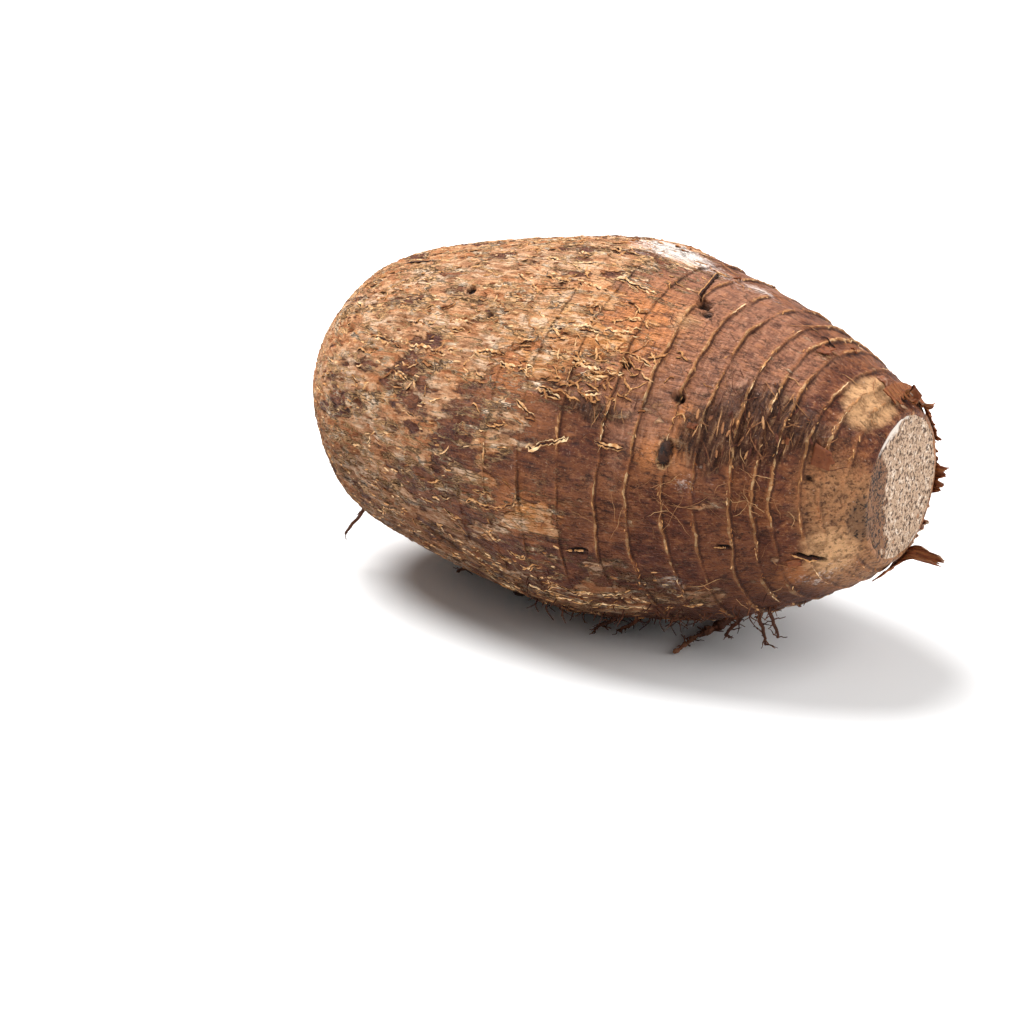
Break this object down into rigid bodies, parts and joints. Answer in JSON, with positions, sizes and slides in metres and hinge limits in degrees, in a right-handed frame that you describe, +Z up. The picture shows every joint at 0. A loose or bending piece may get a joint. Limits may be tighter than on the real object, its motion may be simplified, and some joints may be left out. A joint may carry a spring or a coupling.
{
  "type": "taro root",
  "caption": "Whole spindle-shaped taro corm lying on its side, with ringed leaf scars, corky brown skin, dried roots, and a cut crown in a torn sheath collar.",
  "frame": {"origin": "centre of the box's bottom face, on the surface that the corm lies on", "axes": "+X along the corm from the root end to the cut crown, +Y across it, +Z up"},
  "size_m": [0.213, 0.1154, 0.1145],
  "materials": {
    "bark_skin": "rough corky bark, dry, with dull waxy patches between the leaf scars",
    "dry_sheath": "dry papery leaf sheath, slightly shiny"
  },
  "bodies": {
    "root": {"corm": "bark_skin", "sheath_collar": "dry_sheath"}
  },
  "joints": []
}
